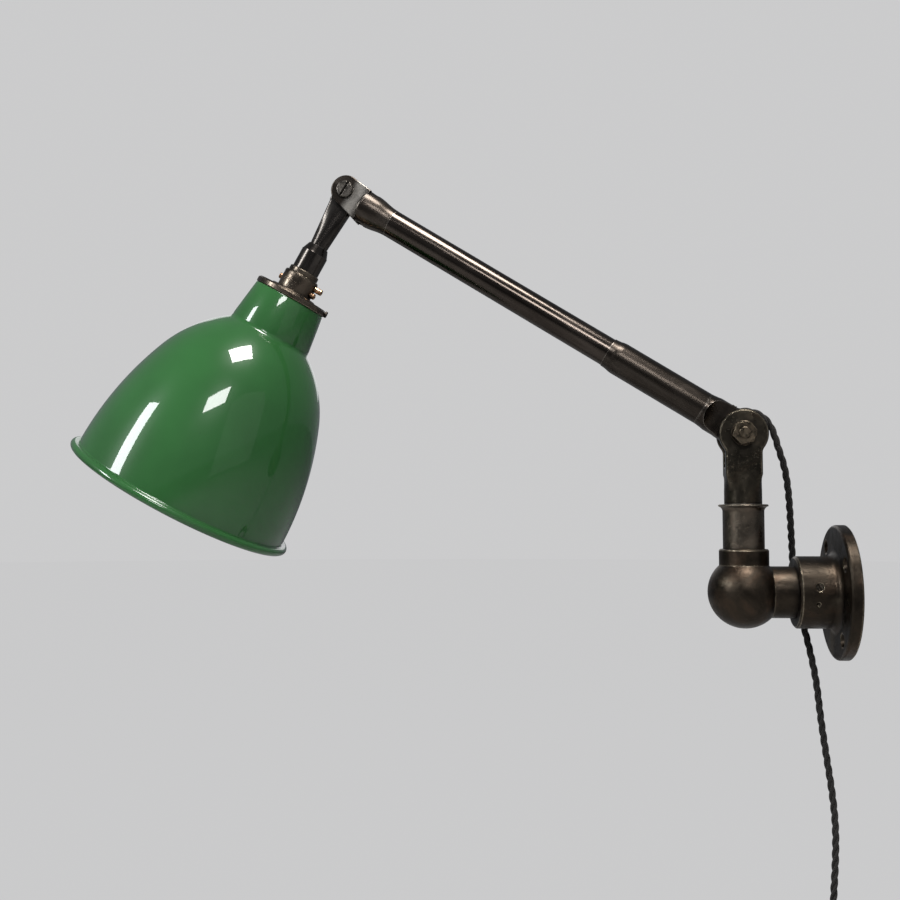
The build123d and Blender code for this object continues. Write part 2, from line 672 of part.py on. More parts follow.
def bulb_cap():
    body = rod(CAP_BULB_R, BULB_TOP, BULB_CAP_FOOT)
    body = fillet(edges_at(body, Axis.Z, BULB_TOP), 1.5)
    pins = ALONG_X * rod(1.0, -12.6, 12.6)
    return body + Pos(0, 0, BARREL_FOOT - 7.7) * pins


def bulb_face(inset):
    """Half section of the envelope: a neck that swells into a round end."""
    neck_r = BULB_NECK_R - inset
    swell = (neck_r + 1.0, BULB_CAP_FOOT + 9)
    middle = (0, BULB_FOOT - BULB_R)
    radius = BULB_R - inset
    shoulder = polar(middle, radius, 120)
    edge = Polyline((0, BULB_CAP_FOOT), (neck_r, BULB_CAP_FOOT), swell, shoulder)
    edge += ThreePointArc(shoulder, polar(middle, radius, 60), (0, BULB_FOOT - inset))
    edge += Line((0, BULB_FOOT - inset), (0, BULB_CAP_FOOT))
    face = make_face(edge)
    bend = [v for v in face.vertices() if abs(v.X - swell[0]) + abs(v.Y - swell[1]) < 0.01]
    return fillet(bend, BULB_SWELL_R)


def bulb_glass():
    outer = revolve(Plane.XZ * bulb_face(0), Axis.Z)
    return outer - revolve(Plane.XZ * bulb_face(GLASS_T), Axis.Z)


# ================= flex =================


def sweep_tube(path, radius=FLEX_D / 2):
    start = path.position_at(0)
    face = Plane(origin=start, z_dir=path.tangent_at(0)) * Circle(radius)
    return sweep(face, path=path)


def flex_tube(name, points):
    """A flex along straight runs joined by arcs, each as large as its two runs allow."""
    corners = [Vector(*p) for p in points]
    runs = [b - a for a, b in zip(corners, corners[1:])]
    radii = []
    for before, after in zip(runs, runs[1:]):
        half_turn = math.radians(before.get_angle(after)) / 2
        radii.append(0.45 * min(before.length, after.length) / math.tan(half_turn))
    path = Wire(FilletPolyline(corners, radius=radii).edges())
    solid = sweep_tube(path)
    share = solid.volume / (math.pi * (FLEX_D / 2) ** 2 * path.length)
    print(f"{name}: length {path.length:.1f}, volume share {share:.4f}, least radius {min(radii):.1f}")
    print("  radii", [round(r, 1) for r in radii])
    return solid


# The free flex: over the knuckle, down the wall side of the post, behind the hub and down the wall.
FREE_ROUTE = [
    (-74.5, 0.2, 129.7),
    (-67.3, -0.25, 129.85),
    (-60.1, -0.7, 128.05),
    (-53.8, -1.0, 123.4),
    (-49.7, -1.0, 116.2),
    (-47.2, -0.7, 108.4),
    (-44.9, 0.3, 100.7),
    (-42.2, 2.6, 94.0),
    (-39.6, 6.0, 86.0),
    (-37.2, 10.2, 75.0),
    (-35.1, 15.4, 61.5),
    (-33.2, 21.9, 46.5),
    (-31.0, 29.3, 31.6),
    (-29.8, 33.2, 16.0),
    (-27.7, 34.6, 0.0),
    (-25.1, 33.4, -16.0),
    (-22.0, 31.0, -31.0),
    (-18.7, 29.2, -47.0),
    (-15.2, 28.2, -67.0),
    (-13.1, 27.2, -92.0),
    (-9.8, 26.1, -119.0),
    (-6.1, 25.2, -146.0),
    (-4.1, 24.9, -171.0),
    (-4.9, 25.1, -196.0),
    (-6.6, 25.0, -219.0),
    (-7.6, 25.0, -240.0),
    (-7.6, 25.0, -260.0),
]
# Runs at whose middle the flex is parted: it bends with the arm, then with the post, then hangs.
KNUCKLE_RUN = 5
DROP_RUN = 11
TAIL_ROUTE = [
    (PLUG_X, 25.0, -270.4),
    (PLUG_X, 25.0, -282.0),
    (PLUG_X - 0.3, 24.6, -294.0),
    (PLUG_X, PLUG_Y, PLUG_TOP),
]


def part_route(route, *runs):
    """Cuts a route at the middle of some of its runs, given by number."""
    pieces = []
    start = [route[0]]
    last = 0
    for run in runs:
        middle = tuple((a + b) / 2 for a, b in zip(route[run], route[run + 1]))
        pieces.append(start + route[last + 1 : run + 1] + [middle])
        start = [middle]
        last = run
    pieces.append(start + route[last + 1 :])
    return pieces


def coil_point(turns):
    """Centre of the coil's cord: it winds in and out between two radii and climbs as it turns back."""
    per_layer = COIL_TURNS / COIL_LAYERS
    layer = min(int(turns / per_layer), COIL_LAYERS - 1)
    into = turns - layer * per_layer
    drawn_in = into if layer % 2 == 0 else per_layer - into
    radius = COIL_OUTER_R - COIL_PITCH * drawn_in
    climbed = sum(min(max((turns - k * per_layer) / 0.5 + 0.5, 0), 1) for k in range(1, COIL_LAYERS))
    centre_y = COIL_START[1] - COIL_OUTER_R
    angle = 2 * math.pi * turns
    return Vector(
        COIL_START[0] - COIL_PITCH * climbed,
        centre_y + radius * math.cos(angle),
        COIL_START[2] - radius * math.sin(angle),
    )


def coil_tangent(turns):
    step = 0.01
    if turns < step or turns > COIL_TURNS - step:
        return Vector(0, 0, -1)
    return (coil_point(turns + step) - coil_point(turns - step)).normalized()


def biarc(start, start_dir, end, end_dir):
    """Two arcs that meet smoothly and leave and arrive along the given directions."""
    chord = end - start
    both = start_dir + end_dir
    across = 2 * (1 - start_dir.dot(end_dir))
    along = chord.dot(both)
    reach = (math.sqrt(along**2 + across * chord.dot(chord)) - along) / across
    middle = (start + start_dir * reach + end - end_dir * reach) * 0.5
    first = Edge.make_tangent_arc(start, start_dir, middle)
    return first, Edge.make_tangent_arc(middle, first.tangent_at(1), end)


def flex_coil():
    stations = [k / 4 for k in range(4 * COIL_TURNS + 1)]
    lead = Vector(0, 0, FLEX_D)
    edges = [Edge.make_line(coil_point(0) + lead, coil_point(0))]
    for a, b in zip(stations, stations[1:]):
        edges += biarc(coil_point(a), coil_tangent(a), coil_point(b), coil_tangent(b))
    edges.append(Edge.make_line(coil_point(COIL_TURNS), coil_point(COIL_TURNS) - lead))
    path = Wire(edges)
    count = int(path.length)
    points = [path.position_at(k / count) for k in range(count + 1)]
    skip = int(2.5 * FLEX_D)
    gaps = [(points[i] - points[j]).length for i in range(count) for j in range(i + skip, count + 1)]
    print(f"flex_coil: length {path.length:.1f}, least gap {min(gaps) - FLEX_D:.2f}")
    return sweep_tube(path)


def coil_tie():
    """A strap round the bundle of turns at the top of the coil."""
    passes = [coil_point(k + 0.75) for k in range(COIL_TURNS)]
    room = FLEX_D / 2 + 0.5
    low = Vector(min(p.X for p in passes), 0, min(p.Z for p in passes))
    high = Vector(max(p.X for p in passes), 0, max(p.Z for p in passes))
    middle = (low + high) * 0.5
    width = high.X - low.X + 2 * room
    height = high.Z - low.Z + 2 * room
    strap = 1.3
    band = RectangleRounded(width + 2 * strap, height + 2 * strap, 4.0)
    band -= RectangleRounded(width, height, 2.7)
    centre_y = COIL_START[1] - COIL_OUTER_R
    return Pos(middle.X, centre_y, middle.Z) * extrude(Plane.XZ * band, 3.5, both=True)


def plug_cover():
    """Round plug top with a long tapered neck for the flex."""
    hole_r = FLEX_D / 2 + 0.1
    edge = Polyline((hole_r, 0, 0), (5.0, 0, 0), (7.2, 0, -20))
    edge += ThreePointArc((7.2, 0, -20), (9.4, 0, -24.2), (14.0, 0, -26))
    edge += ThreePointArc((14.0, 0, -26), (18.6, 0, -28.6), (PLUG_R, 0, -33.5))
    edge += Polyline((PLUG_R, 0, -33.5), (PLUG_R, 0, -PLUG_COVER), (0, 0, -PLUG_COVER), (0, 0, -4))
    edge += Polyline((0, 0, -4), (hole_r, 0, -4), (hole_r, 0, 0))
    return revolve(make_face(edge), Axis.Z)


def plug_base():
    base = rod(PLUG_R, PLUG_FACE, -PLUG_COVER - 0.05)
    return chamfer(edges_at(base, Axis.Z, PLUG_FACE), 1.0)


def plug_pins():
    pins = []
    for x, y, radius, length in PLUG_PINS:
        pin = Pos(x, y, 0) * rod(radius, PLUG_FACE - length, PLUG_FACE)
        pins.append(fillet(edges_at(pin, Axis.Z, PLUG_FACE - length), 0.9))
    return pins


# ================= writing the pieces =================

save("wall_flange", wall_flange(), WALL)
save("hub_grub_screw", hub_grub_screw(), WALL)
save("ball_elbow", ball_elbow())
save("post_sleeve", Pos(POST_X, 0, 0) * post_sleeve())
save("thrust_washer", tube(POST_R, TAIL_R + FIT, LIP_TOP, LIP_TOP + WASHER_T), POST)

save("post_fork", post_fork(), POST)
post_washer, post_nut = post_nut_and_washer()
save("post_washer", post_washer, POST)
save("post_nut", post_nut, POST)
save("knuckle_bolt", knuckle_bolt(), POST)
save("knuckle_washers", knuckle_washers(), POST)
save("knuckle_nut", knuckle_nut(), POST)

save("knuckle_eye", knuckle_eye(), ARM)
save("friction_washers", friction_washers(), ARM)
save("lead_out_bush", lead_out_bush(), ARM)
save("lower_tube", lower_tube(), ARM)
save("upper_tube", upper_tube(), ARM)
save("top_clevis", top_clevis(), ARM)
save("head_pivot_screw", head_pivot_screw(), ARM)
save("head_pivot_nut", head_pivot_nut(), ARM)
save("head_washers", head_washers(), ARM)

save("head_stem", head_stem(), HEAD)
save("holder_cap", holder_cap(), HEAD)
save("holder_ring", holder_ring(), HEAD)
save("holder_cup", holder_cup(), HEAD)
save("clamp_screws", clamp_screws(), HEAD)
save("gallery_disc", gallery_disc(), HEAD)
save("gallery_screw", gallery_screw(), HEAD)
save("lampholder_barrel", lampholder_barrel(), HEAD)
save("lampholder_insulator", lampholder_insulator(), HEAD)
save("contact_plungers", contact_plungers(), HEAD)
save("plunger_springs", plunger_springs(), HEAD)
save("terminal_screws", terminal_screws(), HEAD)
save("shade_ring", shade_ring(), HEAD)
save("shade", shade(), HEAD)
save("bulb_cap", bulb_cap(), HEAD)
save("bulb_glass", bulb_glass(), HEAD)

INNER_ARM_ROUTE = [on_axis(ARM_LENGTH - CLEVIS_SLOT_DEPTH - 1), FLEX_TURN, FLEX_EXIT]
inner_path = Wire(FilletPolyline([Vector(*p) for p in INNER_ARM_ROUTE], radius=18.0).edges())
save("arm_flex", sweep_tube(inner_path), ARM)
save("head_flex", rod(FLEX_D / 2, 22, 78), HEAD)
FREE_PIECES = ("flex_knuckle", "flex_drop", "flex_lower")
for name, route in zip(FREE_PIECES, part_route(FREE_ROUTE, KNUCKLE_RUN, DROP_RUN)):
    save(name, flex_tube(name, route))
save("flex_coil", flex_coil())
save("flex_tail", flex_tube("flex_tail", TAIL_ROUTE))
save("coil_tie", coil_tie())
plug_at = Pos(PLUG_X, PLUG_Y, PLUG_TOP)
save("plug_cover", plug_at * plug_cover())
save("plug_base", plug_at * plug_base())
save("plug_pins", [plug_at * pin for pin in plug_pins()])
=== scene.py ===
import math

import bpy
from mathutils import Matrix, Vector


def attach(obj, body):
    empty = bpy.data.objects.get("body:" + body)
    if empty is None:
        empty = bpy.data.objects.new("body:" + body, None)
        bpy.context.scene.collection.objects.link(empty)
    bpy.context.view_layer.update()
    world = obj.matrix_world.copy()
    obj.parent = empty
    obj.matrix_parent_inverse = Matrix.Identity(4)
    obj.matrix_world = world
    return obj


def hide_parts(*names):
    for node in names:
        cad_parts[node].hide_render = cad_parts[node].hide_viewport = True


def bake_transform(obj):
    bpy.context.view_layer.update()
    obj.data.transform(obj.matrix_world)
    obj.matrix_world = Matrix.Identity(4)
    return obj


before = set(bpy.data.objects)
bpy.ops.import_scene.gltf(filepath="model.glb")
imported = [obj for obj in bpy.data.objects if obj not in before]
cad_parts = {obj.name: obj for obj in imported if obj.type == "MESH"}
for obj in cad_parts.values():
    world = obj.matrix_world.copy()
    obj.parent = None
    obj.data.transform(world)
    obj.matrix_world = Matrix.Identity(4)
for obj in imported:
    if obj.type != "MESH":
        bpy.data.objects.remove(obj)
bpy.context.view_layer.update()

# Articulated wall lamp with a green enamel bell shade. Metres, in the CAD model's frame:
# the wall is the plane X = 0, the lamp reaches towards -X and the viewer stands on the -Y side.

# ---- how the lamp stands, as in the CAD model ----
SWIVEL = math.radians(3.7)
ARM_RISE = math.radians(32.8)
SHADE_TILT = math.radians(29.4)
KNUCKLE = Vector((-0.071, 0, 0.113))
ARM_LENGTH = 0.346
UP = Vector((0, 0, 1))
OUTWARD = Vector((-math.cos(SWIVEL), math.sin(SWIVEL), 0))
PIVOT = Vector((OUTWARD.y, -OUTWARD.x, 0))
ARM_DIR = OUTWARD * math.cos(ARM_RISE) + UP * math.sin(ARM_RISE)
ARM_UP = OUTWARD * -math.sin(ARM_RISE) + UP * math.cos(ARM_RISE)
SHADE_DIR = OUTWARD * math.sin(SHADE_TILT) - UP * math.cos(SHADE_TILT)
SHADE_SIDE = SHADE_DIR.cross(PIVOT)
TOP_PIVOT = KNUCKLE + ARM_DIR * ARM_LENGTH


# ================= camera =================

camera = bpy.data.objects.new("camera", bpy.data.cameras.new("camera"))
camera.data.lens = 46.6
camera.data.sensor_width = 36
camera.data.clip_start = 0.05
camera.data.clip_end = 60
camera.location = (-0.2183, -0.8500, 0.0524)
camera.rotation_euler = (math.radians(93.367), 0, math.radians(4.28))
bpy.context.collection.objects.link(camera)
bpy.context.scene.camera = camera


# ================= material graphs =================


class Graph:
    """A material's node tree, built a node at a time."""

    def __init__(self, name, **values):
        self.material = bpy.data.materials.new(name)
        self.material.use_nodes = True
        self.tree = self.material.node_tree
        self.shader = self.tree.nodes["Principled BSDF"]
        self.place = self.tree.nodes.new("ShaderNodeTexCoord").outputs["Object"]
        self.feed(self.shader, values)

    def plug(self, socket, value):
        if isinstance(value, bpy.types.NodeSocket):
            self.tree.links.new(value, socket)
        elif socket.type == "RGBA" and len(value) == 3:
            socket.default_value = (*value, 1)
        else:
            socket.default_value = value

    def feed(self, node, values):
        for key, value in values.items():
            self.plug(node.inputs[key.replace("_", " ")], value)

    def put(self, kind, settings=None, **inputs):
        node = self.tree.nodes.new("ShaderNode" + kind)
        for key, value in (settings or {}).items():
            setattr(node, key, value)
        self.feed(node, inputs)
        return node

    def maths(self, operation, a, b=0.0, clamp=False):
        node = self.put("Math", {"operation": operation, "use_clamp": clamp})
        self.plug(node.inputs[0], a)
        self.plug(node.inputs[1], b)
        return node.outputs[0]

    def dot(self, a, b):
        node = self.put("VectorMath", {"operation": "DOT_PRODUCT"})
        self.plug(node.inputs[0], a)
        self.plug(node.inputs[1], b)
        return node.outputs["Value"]

    def along(self, origin, direction, scale=1.0):
        """Distance from a point along a direction, in metres times scale."""
        d = Vector(direction) * scale
        return self.maths("SUBTRACT", self.dot(self.place, tuple(d)), Vector(origin).dot(d))

    def stretched(self, u, v, w, scale):
        """Object coordinates along three directions, each with a scale of its own."""
        axes = [self.dot(self.place, tuple(Vector(d) * s)) for d, s in zip((u, v, w), scale)]
        return self.put("CombineXYZ", None, X=axes[0], Y=axes[1], Z=axes[2]).outputs[0]

    def noise(self, scale, detail=3.0, rough=0.55, vector=None, distortion=0.0):
        detailed = {"Scale": scale, "Detail": detail, "Roughness": rough, "Distortion": distortion}
        return self.put("TexNoise", None, Vector=vector or self.place, **detailed).outputs["Fac"]

    def band(self, value, low, high, out_low=0.0, out_high=1.0):
        """Maps a range smoothly onto another and clamps it."""
        node = self.put("MapRange", {"interpolation_type": "SMOOTHSTEP"}, Value=value)
        limits = {"From Min": low, "From Max": high, "To Min": out_low, "To Max": out_high}
        for key, number in limits.items():
            node.inputs[key].default_value = number
        return node.outputs[0]

    def mix(self, factor, a, b):
        node = self.put("Mix", {"data_type": "RGBA"})
        self.plug(node.inputs[0], factor)
        self.plug(node.inputs[6], a)
        self.plug(node.inputs[7], b)
        return node.outputs[2]

    def ramp(self, value, *stops):
        node = self.put("ValToRGB", None, Fac=value)
        points = node.color_ramp.elements
        while len(points) < len(stops):
            points.new(0.5)
        for point, (position, colour) in zip(points, stops):
            point.position = position
            point.color = (*colour, 1)
        return node.outputs["Color"]

    def edges(self, radius):
        """How far a point lies on a convex edge, from 0 to 1, and how deep it lies in a recess, as a mask
        for painted shade.
        """
        bevel = self.put("Bevel", {"samples": 4}, Radius=radius).outputs[0]
        normal = self.put("NewGeometry").outputs["Normal"]
        turn = self.maths("SUBTRACT", 1.0, self.dot(bevel, normal))
        open_sky = self.put("AmbientOcclusion", {"samples": 4}, Distance=0.006).outputs["AO"]
        edge = self.band(turn, 0.012, 0.10)
        edge = self.maths("MULTIPLY", edge, self.band(open_sky, 0.72, 0.95))
        # the second value is the painted-shade mask: it grows where the occlusion finds little open sky
        return edge, self.band(open_sky, 0.9, 0.35), bevel

    def bumps(self, *layers, normal=None):
        """Stacks height layers, each (height, distance in metres, strength)."""
        for height, distance, strength in layers:
            inputs = {"Height": height, "Distance": distance, "Strength": strength}
            if normal is not None:
                inputs["Normal"] = normal
            normal = self.put("Bump", None, **inputs).outputs[0]
        self.plug(self.shader.inputs["Normal"], normal)


def dress(material, *nodes):
    for name in nodes:
        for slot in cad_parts[name].material_slots:
            slot.material = material


# ================= metals =================


def cast_bronze(name, tones, lift, edge_radius=0.0013, gloss=0.34):
    """Cast and bronzed: cloudy brown to olive tones, fine pitting, worn edges, painted shade in the corners.
    """
    g = Graph(name, Metallic=1.0)
    edge, recess_shade, round_normal = g.edges(edge_radius)
    cloud = g.noise(38.0, 5.0, 0.6, distortion=0.8)
    colour = g.ramp(cloud, (0.30, tones[0]), (0.48, tones[1]), (0.62, tones[2]), (0.78, tones[3]))
    stain = g.band(g.noise(11.0, 2.0), 0.45, 0.7, 0.0, 0.55)
    colour = g.mix(stain, colour, tones[0])
    scuffs = g.band(g.noise(150.0, 6.0, 0.7), 0.46, 0.66)
    worn = g.maths("MULTIPLY", edge, g.maths("ADD", 0.55, scuffs), clamp=True)
    rubbed = g.maths("MULTIPLY", g.band(g.noise(24.0, 4.0), 0.56, 0.75), 0.28)
    colour = g.mix(rubbed, colour, lift)
    colour = g.mix(worn, colour, lift)
    # painted shade: corners and recesses darkened towards near-black
    colour = g.mix(g.maths("MULTIPLY", recess_shade, 0.8), colour, (0.012, 0.011, 0.010))
    g.plug(g.shader.inputs["Base Color"], colour)
    rough = g.band(g.noise(60.0, 5.0, 0.65), 0.3, 0.7, gloss - 0.07, gloss + 0.14)
    rough = g.maths("SUBTRACT", rough, g.maths("MULTIPLY", worn, 0.1))
    rough = g.maths("ADD", rough, g.maths("MULTIPLY", recess_shade, 0.25), clamp=True)
    g.plug(g.shader.inputs["Roughness"], rough)
    pits = g.band(g.noise(420.0, 4.0, 0.7), 0.30, 0.46)
    fine = g.noise(520.0, 3.0, 0.6)
    swells = g.noise(55.0, 3.0)
    g.bumps((swells, 0.0006, 0.45), (fine, 0.00012, 0.5), (pits, 0.00012, 0.55), normal=round_normal)
    return g.material


def drawn_steel(name, tones, lift, axes=(ARM_DIR, PIVOT, ARM_UP), gloss=0.2, reflection_colour=None, edged=True):
    """Polished dark steel: streaks along its length, faint brown clouds, brighter edges, painted shade in
    recesses and, if asked for, a painted reflection near the top pivot.
    """
    g = Graph(name, Metallic=1.0)
    streaks = g.noise(1.0, 2.0, 0.5, vector=g.stretched(*axes, (12.0, 420.0, 420.0)))
    cloud = g.noise(1.0, 4.0, 0.6, vector=g.stretched(*axes, (16.0, 55.0, 55.0)), distortion=0.6)
    colour = g.ramp(cloud, (0.32, tones[0]), (0.5, tones[1]), (0.7, tones[2]))
    colour = g.mix(g.band(streaks, 0.5, 0.8, 0.0, 0.05), colour, lift)
    if reflection_colour:
        # painted reflection: a band about 5 to 15 mm back from the top pivot along the arm is lightened
        # towards the given colour
        distance = g.maths("ADD", g.along(TOP_PIVOT, ARM_DIR), g.maths("MULTIPLY", cloud, 0.006))
        bright = g.maths("MULTIPLY", g.band(distance, -0.015, -0.008), g.band(distance, 0.001, -0.005))
        colour = g.mix(bright, colour, reflection_colour)
    if edged:
        edge, recess_shade, _ = g.edges(0.0009)
        colour = g.mix(g.maths("MULTIPLY", edge, 0.75), colour, lift)
        # painted shade: recesses darkened towards near-black
        colour = g.mix(g.maths("MULTIPLY", recess_shade, 0.4), colour, (0.012, 0.011, 0.010))
    g.plug(g.shader.inputs["Base Color"], colour)
    rough = g.band(streaks, 0.25, 0.75, gloss - 0.01, gloss + 0.02)
    rough = g.maths("ADD", rough, g.band(cloud, 0.45, 0.75, 0.0, 0.08))
    if reflection_colour:
        rough = g.maths("ADD", rough, g.maths("MULTIPLY", bright, 0.13))
    g.plug(g.shader.inputs["Roughness"], rough)
    g.bumps((g.noise(22.0, 2.0), 0.0004, 0.10), (streaks, 0.00001, 0.05))
    return g.material


def small_metal(name, dull, bright, worn, gloss=0.3):
    """Turned brass or steel hardware: dulled in patches, clean where hands and tools touch."""
    g = Graph(name, Metallic=1.0)
    edge, recess_shade, round_normal = g.edges(0.0005)
    patches = g.band(g.noise(180.0, 5.0, 0.65, distortion=0.5), 0.38, 0.66)
    colour = g.mix(patches, dull, bright)
    colour = g.mix(g.maths("MULTIPLY", edge, 0.85), colour, worn)
    # painted shade: recesses darkened towards near-black
    colour = g.mix(g.maths("MULTIPLY", recess_shade, 0.85), colour, (0.02, 0.016, 0.012))
    g.plug(g.shader.inputs["Base Color"], colour)
    g.plug(g.shader.inputs["Roughness"], g.band(g.noise(260.0, 4.0), 0.3, 0.7, gloss - 0.08, gloss + 0.14))
    g.bumps((g.noise(900.0, 3.0), 0.00005, 0.5), normal=round_normal)
    return g.material


bracket_tones = ((0.022, 0.018, 0.014), (0.046, 0.036, 0.027), (0.074, 0.050, 0.035), (0.098, 0.080, 0.058))
post_tones = ((0.024, 0.021, 0.017), (0.048, 0.041, 0.031), (0.078, 0.058, 0.041), (0.102, 0.084, 0.060))
sleeve_tones = ((0.050, 0.042, 0.034), (0.112, 0.093, 0.073), (0.150, 0.116, 0.089), (0.190, 0.160, 0.128))
holder_tones = ((0.045, 0.037, 0.030), (0.095, 0.078, 0.062), (0.135, 0.107, 0.083), (0.175, 0.148, 0.117))
bracket = cast_bronze("bracket_bronze", bracket_tones, (0.50, 0.42, 0.31))
post_metal = cast_bronze("post_bronze", post_tones, (0.46, 0.39, 0.29), gloss=0.29)
sleeve_metal = cast_bronze("sleeve_bronze", sleeve_tones, (0.50, 0.44, 0.35), gloss=0.27)
holder_bronze = cast_bronze("holder_bronze", holder_tones, (0.52, 0.44, 0.33), 0.0007, gloss=0.27)

arm_tones = ((0.040, 0.032, 0.027), (0.064, 0.052, 0.044), (0.085, 0.070, 0.060))
# painted shade: the thick lower tube and its eye get darker tones than the upper tube, as less light reaches
# that end
thick_shaded_tones = ((0.030, 0.024, 0.020), (0.050, 0.041, 0.034), (0.068, 0.056, 0.047))
clevis_tones = ((0.042, 0.034, 0.028), (0.068, 0.056, 0.047), (0.092, 0.077, 0.066))
stem_tones = ((0.040, 0.035, 0.031), (0.070, 0.062, 0.056), (0.105, 0.095, 0.086))
tube_steel = drawn_steel("arm_steel", arm_tones, (0.38, 0.34, 0.30), gloss=0.15, edged=False)
thick_steel = drawn_steel("thick_tube_steel", thick_shaded_tones, (0.38, 0.34, 0.30), gloss=0.27)
# the clevis gets a painted reflection near the top pivot
clevis_steel = drawn_steel("clevis_steel", clevis_tones, (0.44, 0.40, 0.36), gloss=0.29,
                           reflection_colour=(0.30, 0.28, 0.255))
stem_steel = drawn_steel("stem_steel", stem_tones, (0.40, 0.37, 0.34), axes=(SHADE_DIR, PIVOT, SHADE_SIDE))

brass = small_metal("aged_brass", (0.20, 0.145, 0.085), (0.50, 0.39, 0.24), (0.62, 0.49, 0.30))
nut_bronze = small_metal("knuckle_bronze", (0.075, 0.060, 0.043), (0.17, 0.135, 0.095), (0.62, 0.51, 0.36))
copper_brass = small_metal("screw_brass", (0.50, 0.27, 0.14), (0.80, 0.52, 0.33), (0.90, 0.62, 0.40), 0.26)
dark_screw = small_metal("dark_screw", (0.020, 0.017, 0.014), (0.052, 0.044, 0.036), (0.24, 0.20, 0.16))
plain_steel = small_metal("screw_steel", (0.085, 0.075, 0.065), (0.20, 0.18, 0.16), (0.42, 0.38, 0.34))
cap_metal = small_metal("bulb_cap_metal", (0.50, 0.48, 0.45), (0.72, 0.70, 0.66), (0.80, 0.78, 0.74), 0.28)

dress(bracket, "wall_flange", "ball_elbow")
dress(post_metal, "post_fork")
dress(sleeve_metal, "post_sleeve")
dress(tube_steel, "upper_tube")
dress(thick_steel, "knuckle_eye", "lower_tube")
dress(clevis_steel, "top_clevis")
dress(stem_steel, "head_stem", "holder_cap")
dress(holder_bronze, "holder_cup", "gallery_disc", "holder_ring")
dress(nut_bronze, "knuckle_bolt", "knuckle_washers", "knuckle_nut")
dress(brass, "lampholder_barrel", "contact_plungers", "terminal_screws", "plug_pins")
dress(copper_brass, "clamp_screws")
dress(dark_screw, "hub_grub_screw", "gallery_screw")
dress(plain_steel, "thrust_washer", "post_washer", "post_nut", "head_pivot_screw", "head_pivot_nut",
      "plunger_springs")
dress(cap_metal, "bulb_cap")


# ================= enamel, glass, plastics, fibre =================


def enamel(name, base, deep, chips):
    """Glass enamel on steel: level colour with a faint drift, a slightly rippled gloss and a few specks."""
    g = Graph(name, Roughness=0.30, Coat_Weight=1.0, Coat_Roughness=0.03, Specular_IOR_Level=0.15)
    drift = g.band(g.noise(14.0, 3.0), 0.3, 0.7)
    colour = g.mix(drift, base, deep)
    speck = g.band(g.noise(330.0, 2.0, 0.5), 0.765, 0.80)
    colour = g.mix(g.maths("MULTIPLY", speck, chips), colour, (0.015, 0.014, 0.013))
    g.plug(g.shader.inputs["Base Color"], colour)
    ripple = g.noise(26.0, 2.0)
    g.bumps((ripple, 0.0010, 0.10), (g.noise(300.0, 2.0), 0.00003, 0.25))
    g.tree.links.new(g.shader.inputs["Normal"].links[0].from_socket, g.shader.inputs["Coat Normal"])
    return g.material


def moulded(name, base, swirl, gloss):
    """Hard moulded resin with a faint swirl and fine scratches."""
    g = Graph(name)
    swirls = g.band(g.noise(90.0, 5.0, distortion=1.5), 0.35, 0.7)
    g.plug(g.shader.inputs["Base Color"], g.mix(swirls, base, swirl))
    g.plug(g.shader.inputs["Roughness"], g.band(g.noise(240.0, 4.0), 0.3, 0.7, gloss, gloss + 0.12))
    g.bumps((g.noise(700.0, 3.0), 0.00005, 0.4))
    return g.material


def fibrous(name, base, light, scale, rough, depth):
    """Pressed fibre, rubber or leather: a mottled surface with a fine grain."""
    g = Graph(name, Roughness=rough)
    grain = g.noise(scale, 5.0, 0.7)
    g.plug(g.shader.inputs["Base Color"], g.mix(g.band(grain, 0.35, 0.68), base, light))
    g.bumps((grain, depth, 0.6))
    return g.material


def frosted(name):
    g = Graph(name, Base_Color=(0.93, 0.92, 0.89), Transmission_Weight=0.55, IOR=1.45)
    g.plug(g.shader.inputs["Roughness"], g.band(g.noise(500.0, 3.0), 0.3, 0.7, 0.30, 0.42))
    g.bumps((g.noise(1200.0, 2.0), 0.00002, 0.3))
    return g.material


green = enamel("green_enamel", (0.029, 0.128, 0.033), (0.024, 0.104, 0.027), 0.5)
white = enamel("white_enamel", (0.76, 0.755, 0.72), (0.70, 0.695, 0.66), 0.6)
dark_rim = enamel("rim_edge", (0.018, 0.034, 0.024), (0.030, 0.055, 0.034), 1.0)
resin = moulded("dark_insulator", (0.022, 0.016, 0.013), (0.050, 0.030, 0.020), 0.18)
fibre = fibrous("friction_fibre", (0.20, 0.095, 0.055), (0.34, 0.18, 0.11), 500.0, 0.8, 0.0001)
rubber = fibrous("bush_rubber", (0.018, 0.018, 0.018), (0.040, 0.038, 0.036), 900.0, 0.7, 0.00006)
leather = fibrous("tie_leather", (0.075, 0.040, 0.022), (0.15, 0.085, 0.048), 650.0, 0.6, 0.0002)

dress(frosted("frosted_glass"), "bulb_glass")
dress(resin, "lampholder_insulator", "shade_ring", "plug_cover", "plug_base")
dress(fibre, "friction_washers", "head_washers")
dress(rubber, "lead_out_bush", "arm_flex", "head_flex")
dress(leather, "coil_tie")


# ================= bell shade =================

MM = 0.001
NECK_TOP, NECK_R, NECK_SLOPE = 92.2, 28.45, 0.123
SHOULDER_R, SIDE_R, RIM_Z, RIM_R, CROWN_TURN = 99.0, 256.8, 264.2, 85.5, 22.0
SHADE_T, BEAD_R, HOLE_R = 1.2, 3.05, 13.2
NECK_BLEND = 5.0  # radius of the fillet where the neck meets the shoulder, outside
BEAD_MEETS_Z = 262.0  # the bell's outside ends here, where the bead starts
LATHE_STEPS = 192  # faces round the shade
BEAD = (RIM_R + 2.15, RIM_Z + 0.3)


def polar(centre, radius, angle):
    """A point at an angle from the axis direction, as (radius, height)."""
    a = math.radians(angle)
    return centre[0] + radius * math.sin(a), centre[1] + radius * math.cos(a)


